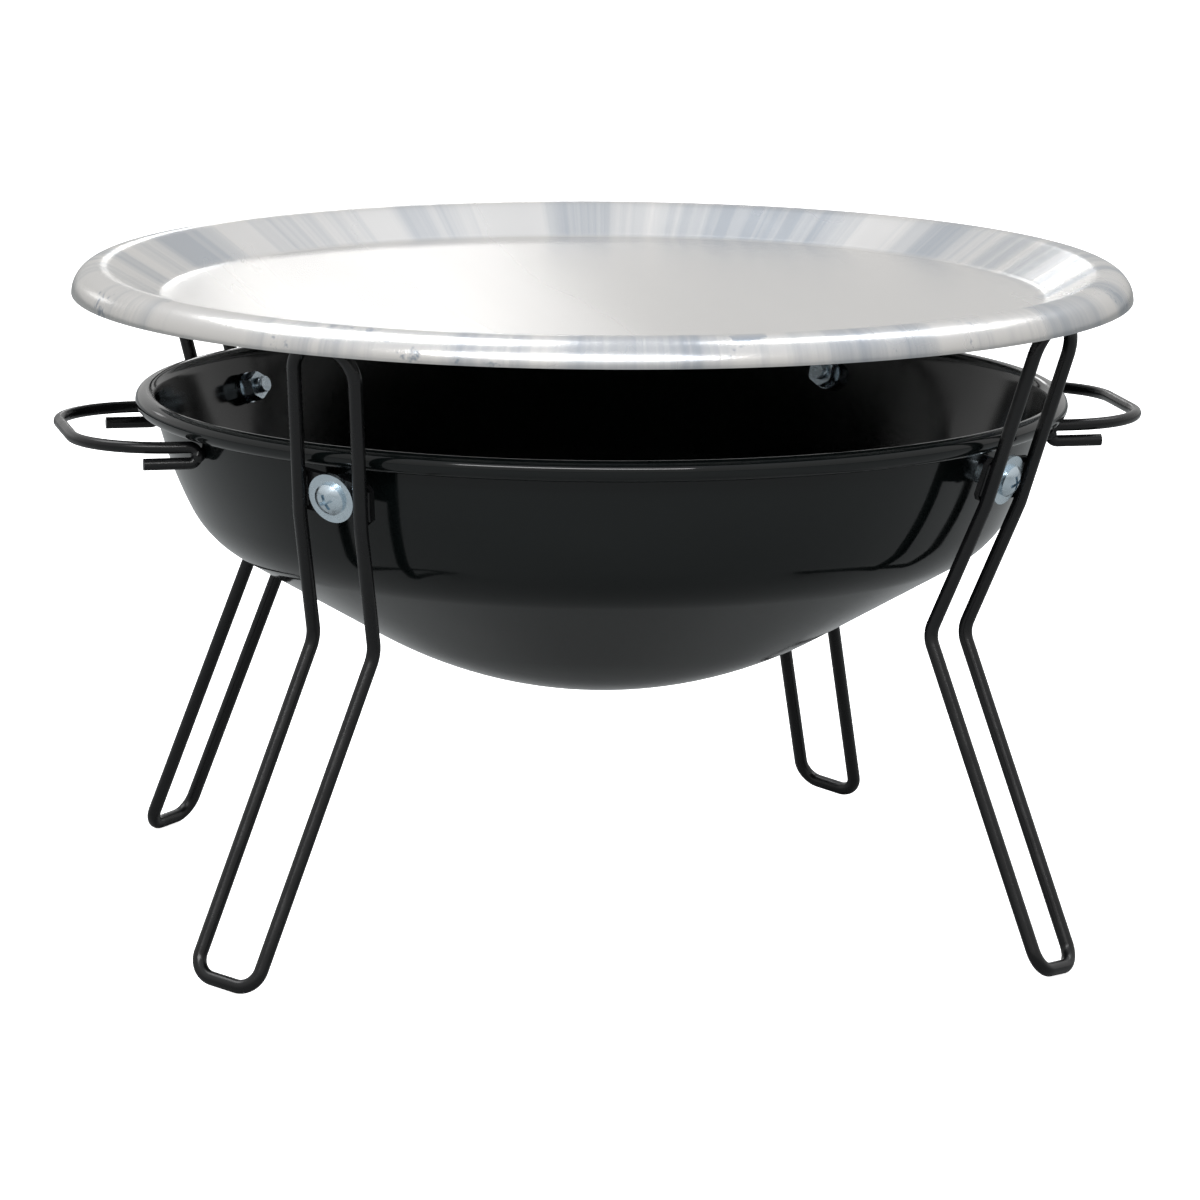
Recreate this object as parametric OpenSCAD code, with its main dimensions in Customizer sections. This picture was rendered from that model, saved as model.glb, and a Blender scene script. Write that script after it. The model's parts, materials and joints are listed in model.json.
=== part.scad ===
// Portable charcoal forge: an enamelled fire bowl on four double-wire legs, with a lift-off steel dish.
// Millimetres. +Z is up, the origin is the middle of the floor under the feet, and the handles lie along X.

/* [Fire bowl] */
// Outer diameter over the rolled rim
rim_d = 354; // [290:1:430]
// Height of the rolled rim's middle above the floor
rim_h = 194; // [160:1:240]
// Thickness of the bowl's sheet
bowl_t = 1; // [0.8:0.1:1.2]
// Outer diameter of the rolled rim's bead
bead_d = 7.8; // [6.5:0.1:9.4]
// Lean of the wall where it meets the bead, in degrees from vertical
neck_slope = 11.5; // [8:0.5:14]
// Radius of the upper wall, seen from the side
wall_r = 158; // [130:1:190]
// Lean of the wall where the shoulder starts
shoulder_slope = 27; // [24:1:33]
// Radius of the shoulder
shoulder_r = 40; // [32:1:50]
// Lean of the cone under the shoulder
cone_slope = 60; // [50:1:66]
// Radius of the rounded bottom
bottom_r = 176; // [140:1:190]

/* [Legs] */
// Wire diameter of the legs
leg_wire_d = 5.2; // [4.3:0.1:6.3]
// Distance between the middles of a leg's two wires
leg_pitch = 26.4; // [25.6:0.1:32]
// Distance from the wall to the middle of the leg's wires, at the screw
leg_standoff = 12; // [11:0.1:14.4]
// Lean of the wall, and so of the leg's upper run, at the screw
screw_slope = 16; // [14:0.5:19]
// Length of leg above the screw, to the middle of the top wire
leg_rise = 62; // [52:0.5:75]
// Length of straight upper run below the screw
bend_drop = 9; // [8:0.5:14]
// Lean of the middle run, inwards going down
middle_lean = 22; // [19:0.5:26]
// Height of the knee above the floor
knee_h = 121; // [101:1:145]
// Lean of the lower run, outwards going down
foot_lean = 24.7; // [20:0.1:30]
// Bend radius below the screw, where the upper run meets the middle run
screw_bend_r = 12; // [10:0.5:14]
// Bend radius at the knee
knee_r = 10; // [8:0.5:14]
// Bend radius at the corners of the foot
foot_r = 8; // [6:0.5:9.6]
// Angle from the handles to the legs
leg_angle = 45; // [40:1:50]
// How far the front left leg is turned on its screw, in degrees about the outward axis
turn_front_left = -8.5; // [-12:0.5:12]
// How far the front right leg is turned on its screw
turn_front_right = -5.5; // [-12:0.5:12]
// How far the rear right leg is turned on its screw
turn_rear_right = 8.5; // [-12:0.5:12]
// How far the rear left leg is turned on its screw
turn_rear_left = -2.5; // [-12:0.5:12]

/* [Leg fastening] */
// Screw shank diameter
screw_d = 6; // [5:0.5:6.4]
// Screw length under the head
screw_l = 22; // [21:0.5:26]
// Diameter of the screw's head
head_d = 12; // [10:0.5:14]
// Height of the screw's head
head_h = 3.8; // [3.2:0.1:4.6]
// Diameter of the large washer under the head
outer_washer_d = 19; // [16:0.5:20]
// Thickness of the large washer
outer_washer_t = 1.6; // [1.2:0.1:2]
// Diameter of the small washer inside the bowl
inner_washer_d = 12; // [11.5:0.5:14]
// Thickness of the small washer
inner_washer_t = 1.2; // [1:0.1:1.6]
// Nut size across flats
nut_af = 10; // [8.5:0.5:11]
// Nut height
nut_h = 5; // [4:0.5:6]
// Diameter of the spacer between the wall and the leg plate
spacer_d = 11; // [9.5:0.5:13]
// How far the leg plate runs past the middle of each wire
plate_over = 3.3; // [2.8:0.1:4]
// Leg plate height, along the wires
plate_h = 16; // [13:0.5:16]
// Leg plate thickness
plate_t = 2; // [1.6:0.1:2.4]

/* [Handles] */
// Wire diameter of the handles
handle_wire_d = 4.5; // [3.8:0.1:5.4]
// Distance from the rim's outside to the middle of a handle's grip wire
handle_out = 28; // [24:1:34]
// Distance between the middles of a handle's arms
handle_w = 100; // [84:1:120]
// Bend radius at the corners of the grip
handle_corner_r = 34; // [28:1:41]
// Length of the folded end that lies back under each arm
fold_l = 20; // [17:0.5:24]
// Height between an arm and its folded end
fold_h = 6; // [5.6:0.1:7.2]

/* [Dish] */
// Thickness of the dish's sheet
dish_t = 0.8; // [0.7:0.1:1]
// Depth from the crest of the brim to the cooking face
dish_depth = 11.5; // [9.6:0.1:13.8]
// Radius of the rounded brim, over its outside
brim_r = 10.5; // [9.8:0.1:12.6]
// Slope of the dish's wall, in degrees from flat
dish_wall_slope = 30; // [25:1:36]
// Radius between the wall and the cooking face
dish_corner_r = 8; // [6.5:0.5:9.6]
// Distance of the leg's top wire outside the crest of the brim
seat_offset = 5.5; // [4.6:0.1:6.2]

/* [Fits] */
// Space between the dish and each leg's top wire
dish_gap = 0.3; // [0.2:0.05:0.5]
// Radial clearance of the leg plate on its screw
pivot_clearance = 0.08; // [0.04:0.01:0.1]
// Radial clearance of washers, spacer and bowl around the screw
loose_clearance = 0.25; // [0.2:0.05:0.4]
// Radial clearance in the nut
thread_clearance = 0.05; // [0.02:0.01:0.08]
// Space between flat faces that turn on each other
face_gap = 0.05; // [0.03:0.01:0.1]
// Space between the small washer's edge and the curve of the wall
seat_gap = 0.06; // [0.05:0.01:0.1]
// Depth of the seats that hold the wires in the leg plate
wire_seat = 0.25; // [0.2:0.05:0.3]
// Space between the bead and a handle's arm
handle_gap = 0.8; // [0.5:0.1:1.2]
// Space between the wall and a handle's fold, which the weld fills
weld_gap = 0.4; // [0.3:0.05:0.6]
// Radius of a weld bead
weld_r = 3; // [2.8:0.1:3.4]
// How far a weld bead melts into the wall
weld_bite = 0.5; // [0.3:0.05:0.6]

/* [Hidden] */
$fn = 64;
// How far a cut runs past what it cuts
overrun = 1;
// How far a wire's joining balls stand proud of it, over the diameter, and the space they bridge
join_swell = 0.1;
join_gap = 0.05;

CORNERS = ["front_left", "front_right", "rear_right", "rear_left"];

// Directions in the bowl's section, where x is the distance from the axis and y is the height.
function outward(slope) = [cos(slope), -sin(slope)];
function upward(slope) = [sin(slope), cos(slope)];

// The bowl's section: bead, upper wall, shoulder, cone and bottom, each tangent to the next.
bead_r = bead_d / 2;
bead_c = [rim_d / 2 - bead_r, rim_h];
neck = bead_c - (bead_r - bowl_t) * outward(neck_slope);
wall_c = neck - wall_r * outward(neck_slope);
shoulder_c = wall_c + (wall_r - shoulder_r) * outward(shoulder_slope);
cone_top = shoulder_c + shoulder_r * outward(cone_slope);
cone_l = (cone_top.x - bottom_r * cos(cone_slope)) / sin(cone_slope);
cone_foot = cone_top - cone_l * upward(cone_slope);
bottom_c = [0, cone_foot.y + bottom_r * sin(cone_slope)];
bead_end = -130;

// Distance of the wall's outside from the axis at a height within the upper wall
function wall_at(z) = wall_c.x + sqrt(wall_r * wall_r - (wall_c.y - z) * (wall_c.y - z));

// The screw stands square to the wall. The leg's upper run is square to the screw.
screw_at = wall_c + wall_r * outward(screw_slope);
screw_out = outward(screw_slope);
screw_up = upward(screw_slope);

// The leg's wire line in the same section
wire_r = leg_wire_d / 2;
half_pitch = leg_pitch / 2;
leg_axis = screw_at + leg_standoff * screw_out;
leg_top = leg_axis + leg_rise * screw_up;
leg_bend = leg_axis - bend_drop * screw_up;
middle_l = (leg_bend.y - knee_h) / cos(middle_lean);
leg_knee = leg_bend - middle_l * upward(middle_lean);
lower_l = (knee_h - wire_r) / cos(foot_lean);
leg_foot = leg_knee + lower_l * [sin(foot_lean), -cos(foot_lean)];

// The stack along the screw, measured out from the wall
plate_out = leg_standoff - wire_r + wire_seat;
plate_in = plate_out - plate_t;
spacer_l = plate_in - face_gap;
washer_in = plate_out + face_gap;
head_at = washer_in + outer_washer_t;
// The wall curves towards the small washer, whose edge sits on it.
inner_gap = pow(inner_washer_d / 2, 2) / (2 * (wall_r - bowl_t)) + seat_gap;
inner_face = -bowl_t - inner_gap;
nut_face = inner_face - inner_washer_t;

// The dish rests with the inside of its brim on the legs' top wires.
brim_inner_r = brim_r - dish_t;
seat_reach = brim_inner_r - wire_r - dish_gap;
brim_c = [leg_top.x - seat_offset, leg_top.y - sqrt(seat_reach * seat_reach - seat_offset * seat_offset)];
dish_r = brim_c.x + brim_r;
dish_base = brim_c.y + brim_r - dish_depth;
dish_wall_top = brim_c + brim_r * [-sin(dish_wall_slope), cos(dish_wall_slope)];
dish_wall_l = (dish_wall_top.y - dish_base - dish_corner_r * (1 - cos(dish_wall_slope)))
    / sin(dish_wall_slope);
dish_wall_foot = dish_wall_top - dish_wall_l * [cos(dish_wall_slope), sin(dish_wall_slope)];
dish_corner_c = dish_wall_foot + dish_corner_r * [-sin(dish_wall_slope), cos(dish_wall_slope)];

// The handles' arms lie just under the bead and end at the wall.
handle_z = rim_h - bead_r - handle_gap - handle_wire_d / 2;
fold_z = handle_z - fold_h;
arm_y = handle_w / 2;
weld_z = handle_z - fold_h / 2;
wall_x = sqrt(pow(wall_at(weld_z), 2) - arm_y * arm_y);
weld_facing = wall_x / wall_at(weld_z);
fold_x = wall_x + (handle_wire_d / 2 + weld_gap) / weld_facing;
fold_end_x = fold_x + fold_l;
weld_x = wall_x + (weld_r - weld_bite) / weld_facing;
grip_x = rim_d / 2 + handle_out;

ENAMEL = "#15181a";
WIRE_PAINT = "#101112";
STEEL = "#c9c7c2";
ZINC = "#b9c6d2";

// ---- helpers ----

function unit(v) = v / norm(v);

// Puts children in a frame given by its X and Z directions and its origin
module in_frame(ex, ez, origin) {
    ey = cross(ez, ex);
    multmatrix([
        [ex.x, ey.x, ez.x, origin.x],
        [ex.y, ey.y, ez.y, origin.y],
        [ex.z, ey.z, ez.z, origin.z],
        [0, 0, 0, 1]
    ]) children();
}

// A round rod between two points
module rod(from, to, d) {
    ez = unit(to - from);
    side = abs(ez.z) < 0.9 ? [0, 0, 1] : [1, 0, 0];
    in_frame(unit(cross(side, ez)), ez, from) cylinder(h = norm(to - from), d = d);
}

// How far a bend of radius r reaches along the runs that meet at point p
function bend_reach(a, p, b, r) = r * tan((180 - acos(unit(a - p) * unit(b - p))) / 2);

// A round bend at point p, between the runs towards a and b
module bend(a, p, b, r, d) {
    ua = unit(a - p);
    ub = unit(b - p);
    turn = 180 - acos(ua * ub);
    centre = p + unit(ua + ub) * r / cos(turn / 2);
    ex = unit(p + ua * bend_reach(a, p, b, r) - centre);
    ez = unit(cross(ex, unit(p + ub * bend_reach(a, p, b, r) - centre)));
    in_frame(ex, ez, centre) rotate_extrude(angle = turn) translate([r, 0]) circle(d = d);
}

// The ball that joins two lengths of a wire, with its seam kept off the wire's own line
module join(at, along, d) {
    translate(at) rotate([0, 0, atan2(along.y, along.x) - 90]) sphere(d = d + join_swell);
}

// A bent wire through points, with a bend radius at each: the ends' radii are 0 unless it is closed.
// A ball a hair larger than the wire joins each straight run to its bends.
module wire(points, radii, d, closed = false) {
    n = len(points);
    reach = [for (i = [0:n - 1]) radii[i] == 0 ? 0 :
        bend_reach(points[(i + n - 1) % n], points[i], points[(i + 1) % n], radii[i])];
    for (i = [0:n - 1]) if (radii[i] > 0)
        bend(points[(i + n - 1) % n], points[i], points[(i + 1) % n], radii[i], d);
    for (i = [0:closed ? n - 1 : n - 2]) {
        j = (i + 1) % n;
        run = norm(points[j] - points[i]);
        along = (points[j] - points[i]) / run;
        from = points[i] + along * reach[i];
        to = points[j] - along * reach[j];
        if (run - reach[i] - reach[j] > 0.01)
            rod(from + along * join_gap * sign(reach[i]), to - along * join_gap * sign(reach[j]), d);
        if (reach[i] > 0) join(from, along, d);
        if (reach[j] > 0 && run - reach[i] - reach[j] > 0.01) join(to, along, d);
    }
}

// Points along an arc in a section, from one angle to another, with no step over 3 degrees
function arc(centre, r, from, to) =
    let (steps = max(1, ceil(abs(to - from) / 3)), step = (to - from) / steps)
    [for (i = [0:steps]) centre + r * [cos(from + i * step), sin(from + i * step)]];

// Puts a piece that is drawn along +Z, with +X up the wall, on a screw's axis
module on_screw(angle, out) {
    at = screw_at + out * screw_out;
    rotate([0, 0, angle])
        in_frame([screw_up.x, 0, screw_up.y], [screw_out.x, 0, screw_out.y], [at.x, 0, at.y])
            children();
}

module ring(outer_d, inner_d, h) {
    difference() {
        cylinder(h = h, d = outer_d);
        translate([0, 0, -overrun]) cylinder(h = h + 2 * overrun, d = inner_d);
    }
}

function corner_angle(i) = [180 + leg_angle, 360 - leg_angle, leg_angle, 180 - leg_angle][i];
function corner_turn(i) = [turn_front_left, turn_front_right, turn_rear_right, turn_rear_left][i];

// ---- fire bowl ----

// The sheet's line at a depth below its outer face, from the bottom up to the end of the bead
function bowl_line(depth) = concat(
    arc(bottom_c, bottom_r - depth, -90, -cone_slope),
    arc(shoulder_c, shoulder_r - depth, -cone_slope, -shoulder_slope),
    arc(wall_c, wall_r - depth, -shoulder_slope, -neck_slope),
    arc(bead_c, bead_r - bowl_t + depth, 180 - neck_slope, bead_end)
);

function reversed(list) = [for (i = [len(list) - 1:-1:0]) list[i]];

module bowl_section() {
    polygon(concat(bowl_line(0), reversed(bowl_line(bowl_t))));
}

module fire_bowl() {
    color(ENAMEL) difference() {
        rotate_extrude($fn = 180) bowl_section();
        for (i = [0:3])
            on_screw(corner_angle(i), -bowl_t - overrun)
                cylinder(h = bowl_t + 2 * overrun, d = screw_d + 2 * loose_clearance);
    }
}

// ---- legs ----

// A point of the leg's line, in the frame of its screw
function leg_point(at, side) =
    [(at - screw_at) * screw_up, side * half_pitch, (at - screw_at) * screw_out];

module leg(angle, turn) {
    line = [leg_top, leg_bend, leg_knee, leg_foot];
    radii = [half_pitch, screw_bend_r, knee_r, foot_r];
    points = [for (i = [0:3]) leg_point(line[i], -1), for (i = [3:-1:0]) leg_point(line[i], 1)];
    color(WIRE_PAINT) on_screw(angle, 0) rotate([0, 0, turn])
        wire(points, concat(radii, [for (i = [3:-1:0]) radii[i]]), leg_wire_d, closed = true);
}

// The plate welded across the leg's two wires, which turns on the screw
module leg_plate(angle, turn) {
    chamfer = 2;
    x = plate_h / 2;
    y = half_pitch + plate_over;
    color(WIRE_PAINT) on_screw(angle, plate_in) rotate([0, 0, turn]) difference() {
        linear_extrude(plate_t) polygon([
            [x - chamfer, y], [x, y - chamfer], [x, chamfer - y], [x - chamfer, -y],
            [chamfer - x, -y], [-x, chamfer - y], [-x, y - chamfer], [chamfer - x, y]
        ]);
        translate([0, 0, -overrun])
            cylinder(h = plate_t + 2 * overrun, d = screw_d + 2 * pivot_clearance);
        for (side = [-1, 1])
            translate([-plate_h, side * half_pitch, leg_standoff - plate_in])
                rotate([0, 90, 0]) cylinder(h = 2 * plate_h, d = leg_wire_d);
    }
}

// ---- leg fastening ----

module screw(angle) {
    recess_w = head_d * 0.11;
    recess_l = head_d * 0.5;
    recess_h = head_h * 0.55;
    recess_turn = 20;
    rim = head_h * 0.35;
    dome_r = (pow(head_d / 2, 2) + pow(head_h - rim, 2)) / (2 * (head_h - rim));
    color(ZINC) on_screw(angle, head_at) {
        difference() {
            intersection() {
                cylinder(h = head_h, d = head_d);
                translate([0, 0, head_h - dome_r]) sphere(dome_r);
            }
            for (turn = [0, 90])
                rotate([0, 0, turn + recess_turn])
                    translate([-recess_l / 2, -recess_w / 2, head_h - recess_h])
                        cube([recess_l, recess_w, recess_h + overrun]);
        }
        translate([0, 0, -screw_l]) cylinder(h = screw_l, d = screw_d);
    }
}

module outer_washer(angle) {
    color(ZINC) on_screw(angle, washer_in)
        ring(outer_washer_d, screw_d + 2 * loose_clearance, outer_washer_t);
}

module spacer(angle) {
    color(ZINC) on_screw(angle, 0) ring(spacer_d, screw_d + 2 * loose_clearance, spacer_l);
}

module inner_washer(angle) {
    color(ZINC) on_screw(angle, nut_face)
        ring(inner_washer_d, screw_d + 2 * loose_clearance, inner_washer_t);
}

module nut(angle) {
    corner_r = nut_af / 2 / cos(30);
    corner_cut = 0.35;
    rounding_r = sqrt(pow(corner_r, 2) + pow(nut_h / 2, 2)) - corner_cut;
    color(ZINC) on_screw(angle, nut_face - nut_h) difference() {
        intersection() {
            cylinder(h = nut_h, r = corner_r, $fn = 6);
            translate([0, 0, nut_h / 2]) sphere(rounding_r);
        }
        translate([0, 0, -overrun])
            cylinder(h = nut_h + 2 * overrun, d = screw_d + 2 * thread_clearance);
    }
}

// ---- handles ----

// A handle's folded end: a half turn back under the arm, a straight run, and balls where they join
module fold(side) {
    turn_x = fold_x + fold_h / 2;
    for (z = [handle_z, fold_z]) join([turn_x, side * arm_y, z], [1, 0, 0], handle_wire_d);
    in_frame([0, 0, 1], [0, -1, 0], [turn_x, side * arm_y, handle_z - fold_h / 2])
        rotate_extrude(angle = 180) translate([fold_h / 2, 0]) circle(d = handle_wire_d);
    rod([turn_x + join_gap, side * arm_y, fold_z], [fold_end_x, side * arm_y, fold_z], handle_wire_d);
}

module handle(angle) {
    arm_x = fold_x + fold_h / 2 + join_gap;
    color(WIRE_PAINT) rotate([0, 0, angle]) {
        wire([[arm_x, -arm_y, handle_z], [grip_x, -arm_y, handle_z], [grip_x, arm_y, handle_z],
            [arm_x, arm_y, handle_z]], [0, handle_corner_r, handle_corner_r, 0], handle_wire_d);
        for (side = [-1, 1]) fold(side);
    }
}

// The four beads that weld the handles' folds to the wall
module weld_beads() {
    color(WIRE_PAINT) for (angle = [0, 180], side = [-1, 1])
        rotate([0, 0, angle]) translate([weld_x, side * arm_y, weld_z]) sphere(weld_r);
}

// ---- dish ----

// The sheet's line at a depth below its upper face, from the middle out to the edge of the brim
function dish_line(depth) = concat(
    [[0, dish_base - depth]],
    arc(dish_corner_c, dish_corner_r + depth, -90, dish_wall_slope - 90),
    arc(brim_c, brim_r - depth, 90 + dish_wall_slope, 0)
);

module dish_section() {
    polygon(concat(dish_line(0), reversed(dish_line(dish_t))));
}

module dish() {
    color(STEEL) rotate_extrude($fn = 180) dish_section();
}

// ---- the whole object ----

fire_bowl();
dish();
handle(180);  // handle_left
handle(0);  // handle_right
weld_beads();
for (i = [0:3]) {
    leg(corner_angle(i), corner_turn(i));
    leg_plate(corner_angle(i), corner_turn(i));
    screw(corner_angle(i));
    outer_washer(corner_angle(i));
    spacer(corner_angle(i));
    inner_washer(corner_angle(i));
    nut(corner_angle(i));
}
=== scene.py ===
"""A portable charcoal forge: fire bowl, double-wire legs, wire handles and a lift-off steel dish."""

import json
import math

import bmesh
import bpy
from mathutils import Matrix, Vector, noise


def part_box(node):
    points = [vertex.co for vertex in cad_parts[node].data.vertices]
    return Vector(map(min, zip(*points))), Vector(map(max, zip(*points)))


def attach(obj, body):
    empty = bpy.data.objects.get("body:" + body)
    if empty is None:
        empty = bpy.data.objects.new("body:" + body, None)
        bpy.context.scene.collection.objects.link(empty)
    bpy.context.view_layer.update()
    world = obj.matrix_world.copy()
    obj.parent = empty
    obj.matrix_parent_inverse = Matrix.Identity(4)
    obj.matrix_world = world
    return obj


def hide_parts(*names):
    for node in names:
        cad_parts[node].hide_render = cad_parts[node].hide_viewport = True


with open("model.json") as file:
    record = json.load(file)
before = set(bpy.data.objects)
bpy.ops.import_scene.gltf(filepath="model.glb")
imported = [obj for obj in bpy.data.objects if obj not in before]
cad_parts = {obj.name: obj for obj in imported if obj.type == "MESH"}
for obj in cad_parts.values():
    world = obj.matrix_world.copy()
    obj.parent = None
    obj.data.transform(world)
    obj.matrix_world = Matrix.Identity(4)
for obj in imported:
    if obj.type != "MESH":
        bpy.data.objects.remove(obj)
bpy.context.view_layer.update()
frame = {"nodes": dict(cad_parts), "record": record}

bl_info = {
    "name": "Charcoal Forge",
    "version": (1, 0, 0),
    "blender": (4, 5, 0),
    "location": "3D View > Sidebar > Forge",
    "description": "Builds a portable charcoal forge, piece by piece, with its materials and a studio",
    "category": "Add Mesh",
}

MM = 0.001
CORNERS = {"front_left": 225.0, "front_right": 315.0, "rear_right": 45.0, "rear_left": 135.0}
BOWL_LOW, BOWL_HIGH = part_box("fire_bowl")
DISH_LOW, DISH_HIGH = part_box("dish")
BEAD_R = 3.9 * MM
WELD_R = 3 * MM
WELD_GAP = 0.4 * MM
WELD_DEPTH = 2.4 * MM
PLATE_WELD_RUN = 12 * MM
PLATE_WELD_R = 0.75 * MM
THREAD_END = 10.4 * MM
NEARLY = 0.9999


# ---- what a user can change ----


def length(name, description, default, low=0.0, high=1.0):
    return bpy.props.FloatProperty(
        name=name, description=description, default=default, min=low, max=high,
        unit="LENGTH", subtype="DISTANCE", precision=4,
    )


def angle(name, description, degrees):
    return bpy.props.FloatProperty(
        name=name, description=description, default=math.radians(degrees), unit="ROTATION", subtype="ANGLE"
    )


def colour(name, description, default):
    return bpy.props.FloatVectorProperty(
        name=name, description=description, default=default, size=3, min=0.0, max=1.0, subtype="COLOR"
    )


def share(name, description, default):
    return bpy.props.FloatProperty(
        name=name, description=description, default=default, min=0.0, max=1.0, subtype="FACTOR"
    )


class ForgeBowlSettings(bpy.types.PropertyGroup):
    """Sizes of the fire bowl's pressed sheet."""

    rim_radius: length("Rim radius", "Outer radius over the rolled rim", BOWL_HIGH.x)
    rim_height: length("Rim height", "Height of the middle of the rolled rim", BOWL_HIGH.z - BEAD_R)
    bead_radius: length("Bead radius", "Radius of the rolled rim's bead", BEAD_R)
    sheet: length("Sheet", "Thickness of the bowl's sheet", 1 * MM)
    neck_slope: angle("Neck slope", "Lean of the wall under the bead", 11.5)
    wall_radius: length("Wall radius", "Radius of the upper wall, seen from the side", 158 * MM)
    shoulder_slope: angle("Shoulder slope", "Lean of the wall where the shoulder starts", 27)
    shoulder_radius: length("Shoulder radius", "Radius of the shoulder", 40 * MM)
    cone_slope: angle("Cone slope", "Lean of the cone under the shoulder", 60)
    bottom_radius: length("Bottom radius", "Radius of the rounded bottom", 176 * MM)
    segments: bpy.props.IntProperty(
        name="Segments", description="Faces round the bowl and the dish", default=288, min=24, max=512
    )


class ForgeLegSettings(bpy.types.PropertyGroup):
    """Sizes of the double-wire legs and of where they are screwed on."""

    wire: length("Wire", "Diameter of the legs' wire", 5.2 * MM)
    pitch: length("Pitch", "Distance between the middles of a leg's two wires", 26.4 * MM)
    standoff: length("Standoff", "Distance from the wall to the middle of the wires", 12 * MM)
    screw_slope: angle("Screw slope", "Lean of the wall at the screw", 16)
    rise: length("Rise", "Length of leg above the screw", 62 * MM)
    bend_drop: length("Bend drop", "Length of straight leg below the screw", 9 * MM)
    middle_lean: angle("Middle lean", "Lean of the middle run", 22)
    knee_height: length("Knee height", "Height of the knee above the floor", 121 * MM)
    foot_lean: angle("Foot lean", "Lean of the lower run", 24.7)
    screw_bend: length("Bend radius", "Bend radius under the screw", 12 * MM)
    knee_bend: length("Knee radius", "Bend radius at the knee", 10 * MM)
    foot_bend: length("Foot radius", "Bend radius at the corners of the foot", 8 * MM)
    turn_front_left: angle("Front left turn", "Turn of the front left leg on its screw", -8.5)
    turn_front_right: angle("Front right turn", "Turn of the front right leg on its screw", -5.5)
    turn_rear_right: angle("Rear right turn", "Turn of the rear right leg on its screw", 8.5)
    turn_rear_left: angle("Rear left turn", "Turn of the rear left leg on its screw", -2.5)


class ForgeHandleSettings(bpy.types.PropertyGroup):
    """Sizes of the two wire handles."""

    wire: length("Wire", "Diameter of the handles' wire", 4.5 * MM)
    reach: length("Reach", "Distance from the rim to the middle of the grip", 28 * MM)
    width: length("Width", "Distance between the middles of the arms", 100 * MM)
    corner: length("Corner radius", "Bend radius at the corners of the grip", 34 * MM)
    fold_length: length("Fold length", "Length of the folded end under each arm", 20 * MM)
    fold_height: length("Fold height", "Height between an arm and its folded end", 6 * MM)
    gap: length("Gap", "Space between the bead and the arms", 0.8 * MM)


class ForgeDishSettings(bpy.types.PropertyGroup):
    """Sizes of the lift-off dish."""

    radius: length("Radius", "Outer radius of the dish", DISH_HIGH.x)
    top: length("Top", "Height of the brim's crest", DISH_HIGH.z)
    sheet: length("Sheet", "Thickness of the dish's sheet", 0.8 * MM)
    depth: length("Depth", "Depth from the crest to the cooking face", 11.5 * MM)
    brim: length("Brim radius", "Radius of the rounded brim", 10.5 * MM)
    wall_slope: angle("Wall slope", "Slope of the dish's wall", 30)
    corner: length("Corner radius", "Radius between the wall and the cooking face", 8 * MM)


class ForgeFinishSettings(bpy.types.PropertyGroup):
    """Colours and gloss of the finishes."""

    enamel: colour("Enamel", "Colour of the bowl's enamel", (0.0022, 0.0032, 0.0032))
    enamel_gloss: share("Enamel roughness", "Roughness of the bowl's enamel", 0.10)
    paint: colour("Wire paint", "Colour of the wires' paint", (0.0028, 0.0029, 0.0032))
    steel: colour("Dish steel", "Colour of the dish's steel", (0.76, 0.745, 0.725))
    zinc: colour("Zinc", "Colour of the zinc plating", (0.66, 0.76, 0.83))


class ForgeStageSettings(bpy.types.PropertyGroup):
    """The camera and the studio."""

    heading: angle("Heading", "Direction from the axis to the camera, from the front", -12)
    distance: length("Distance", "Level distance from the axis to the camera", 2.5892, high=20.0)
    height: length("Height", "Height of the camera above the floor", 0.5917, high=20.0)
    tilt: angle("Tilt", "How far the camera looks down", 10.416)
    roll: angle("Roll", "Turn of the camera on its own axis", 0.453)
    lens: bpy.props.FloatProperty(
        name="Lens", description="Focal length on a 36 mm sensor",
        default=206.6, min=20, max=400, unit="CAMERA",
    )
    floor: colour("Floor", "Colour of the floor", (0.93, 0.93, 0.925))


SETTINGS = {
    "forge_bowl": ForgeBowlSettings,
    "forge_legs": ForgeLegSettings,
    "forge_handles": ForgeHandleSettings,
    "forge_dish": ForgeDishSettings,
    "forge_finish": ForgeFinishSettings,
    "forge_stage": ForgeStageSettings,
}


# ---- node tree helpers ----


def add(tree, kind, inputs=None, **settings):
    """Adds a node. An input's value is a number, a colour or another node's socket."""
    made = tree.nodes.new(kind)
    for name, value in settings.items():
        setattr(made, name, value)
    for key, value in (inputs or {}).items():
        if isinstance(value, bpy.types.NodeSocket):
            tree.links.new(value, made.inputs[key])
        else:
            made.inputs[key].default_value = value
    return made


def maths(tree, operation, first, second=0.0):
    return add(tree, "ShaderNodeMath", {0: first, 1: second}, operation=operation).outputs[0]


def new_group(name, kind, inputs, outputs):
    """A node group with named sockets: (name, socket type, default) in, (name, socket type) out."""
    tree = bpy.data.node_groups.new(name, kind)
    for label, socket, default in inputs:
        made = tree.interface.new_socket(label, in_out="INPUT", socket_type=socket)
        if default is not None:
            made.default_value = default
    for label, socket in outputs:
        tree.interface.new_socket(label, in_out="OUTPUT", socket_type=socket)
    return tree, add(tree, "NodeGroupInput").outputs, add(tree, "NodeGroupOutput").inputs


def end_shape(tree, geometry, given, out):
    """Every shape tree ends the same way: smooth, one material, no instances."""
    smooth = add(tree, "GeometryNodeSetShadeSmooth", {0: geometry}).outputs[0]
    whole = add(tree, "GeometryNodeRealizeInstances", {0: smooth}).outputs[0]
    painted = add(tree, "GeometryNodeSetMaterial", {"Geometry": whole, "Material": given["Material"]})
    tree.links.new(painted.outputs[0], out[0])
    return tree


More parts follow.
